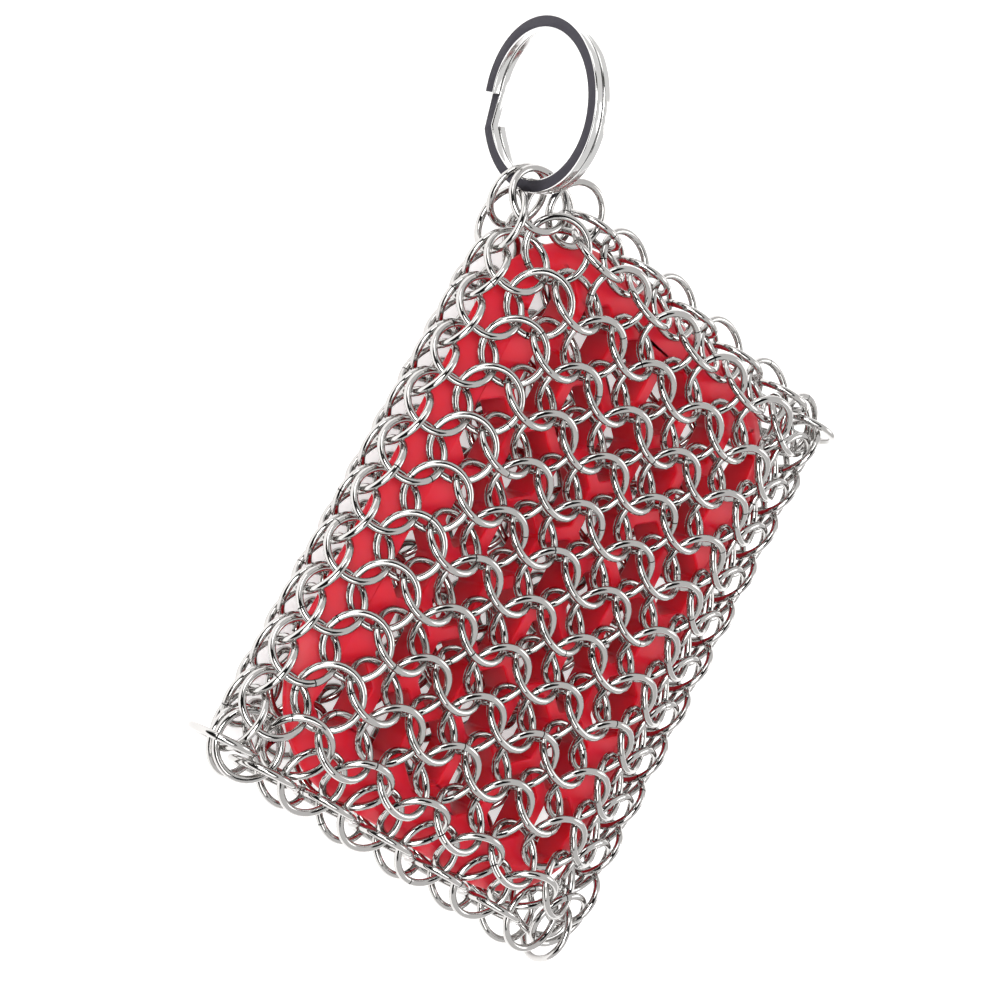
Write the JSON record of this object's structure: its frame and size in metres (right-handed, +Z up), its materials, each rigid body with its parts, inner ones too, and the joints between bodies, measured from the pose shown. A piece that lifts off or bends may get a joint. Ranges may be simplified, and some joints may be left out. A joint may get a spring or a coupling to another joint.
{
  "type": "chain-mail pot scrubber",
  "caption": "Flat pad of linked steel wire rings round a red honeycomb silicone core, hung on a split ring at one corner, for scouring cast-iron pans.",
  "frame": {"origin": "middle of the pad's underside, where it lies on a flat surface", "axes": "+X along the pad toward the end with the split ring, +Y across toward the side with the split ring, +Z up through the pad"},
  "size_m": [0.1146, 0.0875, 0.025],
  "materials": {
    "ring_steel": "polished stainless wire",
    "split_steel": "bright flat wire",
    "silicone": "satin"
  },
  "bodies": {
    "pad": {"mail_loop_01": "ring_steel", "mail_loop_02": "ring_steel", "mail_loop_03": "ring_steel", "mail_loop_04": "ring_steel", "mail_loop_05": "ring_steel", "mail_loop_06": "ring_steel", "mail_loop_07": "ring_steel", "mail_loop_08": "ring_steel", "mail_loop_09": "ring_steel", "mail_loop_10": "ring_steel", "mail_loop_11": "ring_steel", "mail_loop_12": "ring_steel", "mail_loop_13": "ring_steel", "mail_loop_14": "ring_steel", "mail_loop_15": "ring_steel", "mail_loop_16": "ring_steel", "mail_loop_17": "ring_steel", "mail_loop_18": "ring_steel", "mail_loop_19": "ring_steel", "mail_loop_20": "ring_steel", "mail_loop_21": "ring_steel", "mail_loop_22": "ring_steel", "mail_loop_23": "ring_steel", "mail_loop_24": "ring_steel", "fold_near": "ring_steel", "fold_far": "ring_steel", "silicone_core": "silicone"},
    "corner_right": {"corner_ring_right": "ring_steel"},
    "corner_left": {"corner_ring_left": "ring_steel"},
    "corner_far": {"corner_ring_far": "ring_steel"},
    "split": {"split_ring": "split_steel"}
  },
  "joints": [
    {"name": "corner_right_swing", "type": "hinge", "parent": "pad", "child": "corner_right", "pos_m": [0.04488, -0.03079, 0.00925], "axis": [0, 0, 1], "range_deg": [0, 36]},
    {"name": "corner_left_swing", "type": "hinge", "parent": "pad", "child": "corner_left", "pos_m": [-0.04488, 0.03079, 0.00925], "axis": [0, 0, 1], "range_deg": [0, 36]},
    {"name": "corner_far_swing", "type": "hinge", "parent": "pad", "child": "corner_far", "pos_m": [-0.04135, -0.03303, 0.00898], "axis": [0, 1, 0], "range_deg": [-24, 26]},
    {"name": "split_swing", "type": "hinge", "parent": "pad", "child": "split", "pos_m": [0.04648, 0.03535, 0.01012], "axis": [-0.4981, 0.8671, 0], "range_deg": [-30, 50]}
  ]
}
